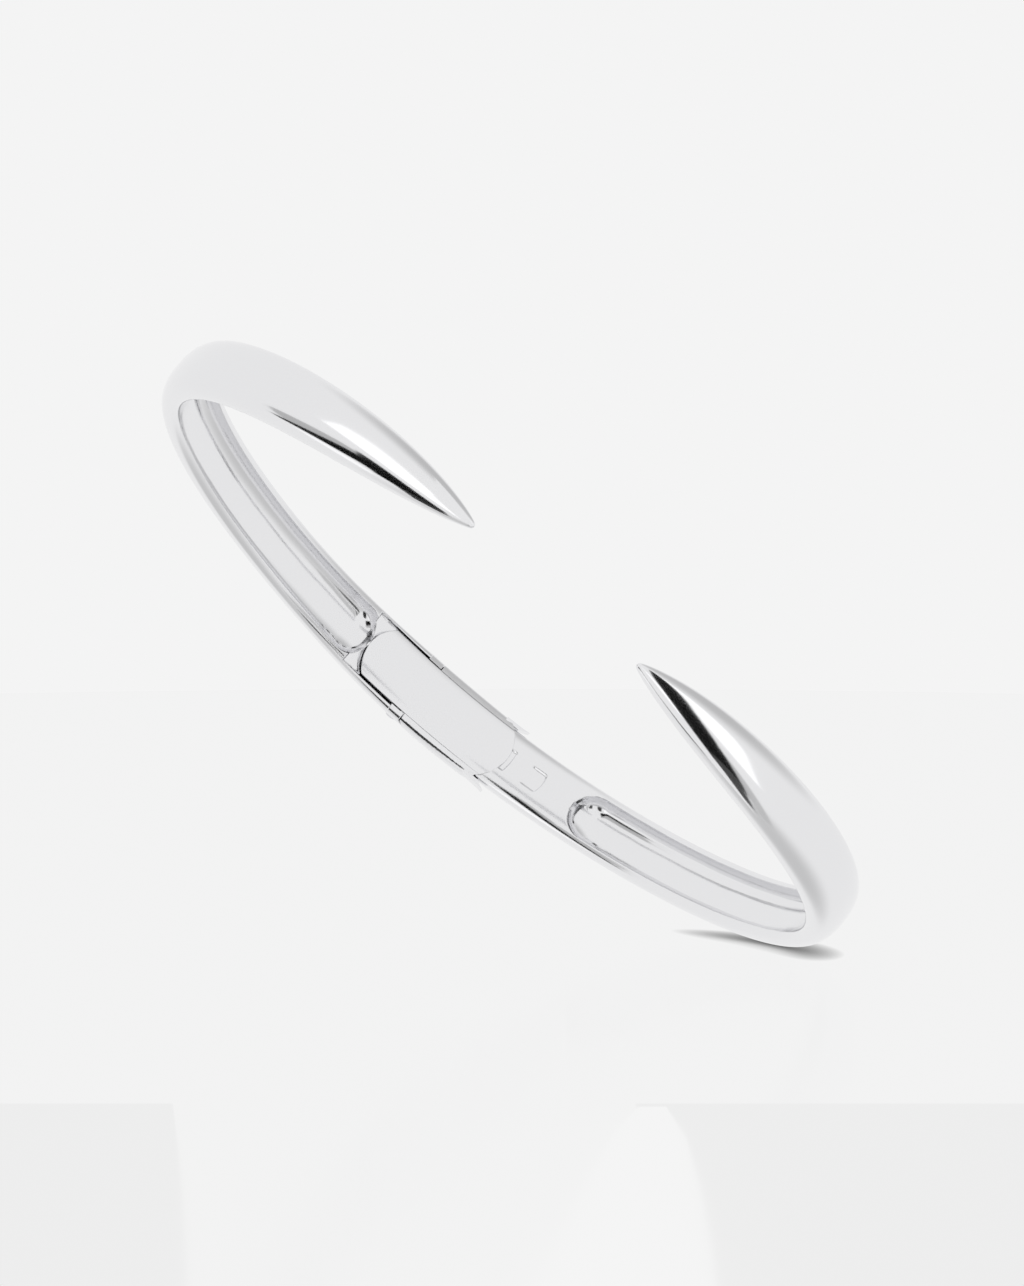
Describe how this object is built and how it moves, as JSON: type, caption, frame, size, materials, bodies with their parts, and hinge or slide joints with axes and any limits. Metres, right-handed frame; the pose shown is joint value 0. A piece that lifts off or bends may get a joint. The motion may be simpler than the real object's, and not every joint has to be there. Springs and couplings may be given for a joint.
{
  "type": "bangle bracelet",
  "caption": "Oval hinged claw cuff: two tapering half-round arms with scooped inner faces and pointed ends, joined at the back by a sprung hinge under a smooth cover plate.",
  "frame": {"origin": "centre of the cuff's outline on the surface it lies on", "axes": "+X across the wrist towards the hinged arm, +Y towards the back hinge, +Z along the wrist, up when the cuff lies flat"},
  "size_m": [0.0628, 0.0454, 0.0059],
  "materials": {
    "silver": "high polish sterling silver",
    "hinge_metal": "bright drawn silver tube and bar",
    "pin_metal": "filed flush",
    "spring_steel": "rolled strip"
  },
  "bodies": {
    "fixed_half": {"fixed_claw_arm": "silver", "hinge_housing": "silver", "hinge_cover_plate": "silver", "hinge_pin": "pin_metal", "upper_knuckle_tube": "hinge_metal", "lower_knuckle_tube": "hinge_metal", "spring_seat": "hinge_metal", "spring_rivet": "pin_metal"},
    "hinged_half": {"hinged_claw_arm": "silver", "cam_block": "hinge_metal"},
    "spring_leaf": {"leaf_spring": "spring_steel"}
  },
  "joints": [
    {"name": "hinge_open", "type": "hinge", "parent": "fixed_half", "child": "hinged_half", "pos_m": [0.0032, 0.02142, 0.00295], "axis": [0, 0, 1], "range_deg": [0, 35], "stiffness_Nm_per_rad": 0.04, "springref_deg": -8.59},
    {"name": "spring_flex", "type": "hinge", "parent": "fixed_half", "child": "spring_leaf", "pos_m": [-0.0036, 0.02152, 0.00295], "axis": [0, 0, 1], "range_deg": [-8.53, 0]}
  ],
  "couplings": [
    {"joint": "spring_flex", "follows": "hinge_open", "ratio": -0.235}
  ]
}
